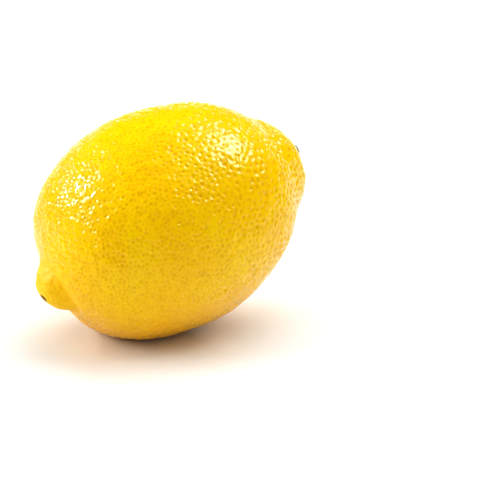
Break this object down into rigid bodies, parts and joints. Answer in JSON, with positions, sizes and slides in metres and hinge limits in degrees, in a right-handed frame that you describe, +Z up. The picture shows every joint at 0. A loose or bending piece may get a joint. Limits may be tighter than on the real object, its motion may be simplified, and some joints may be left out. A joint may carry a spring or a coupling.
{
  "type": "lemon",
  "caption": "Whole lemon lying on its side, with a nipple at one end and a ribbed neck with its dry calyx button at the other.",
  "frame": {"origin": "on the surface that the lemon rests on, at the middle of the small flat spot under it", "axes": "+Z up; +X along the fruit's long axis, seen from above, towards the stem end; the stem end is tilted up by 17.25 degrees"},
  "size_m": [0.0803, 0.0598, 0.0609],
  "materials": {
    "peel": "waxy, pitted",
    "calyx": "dry, matte"
  },
  "bodies": {
    "root": {"fruit": "peel", "stem_button": "calyx"}
  },
  "joints": []
}
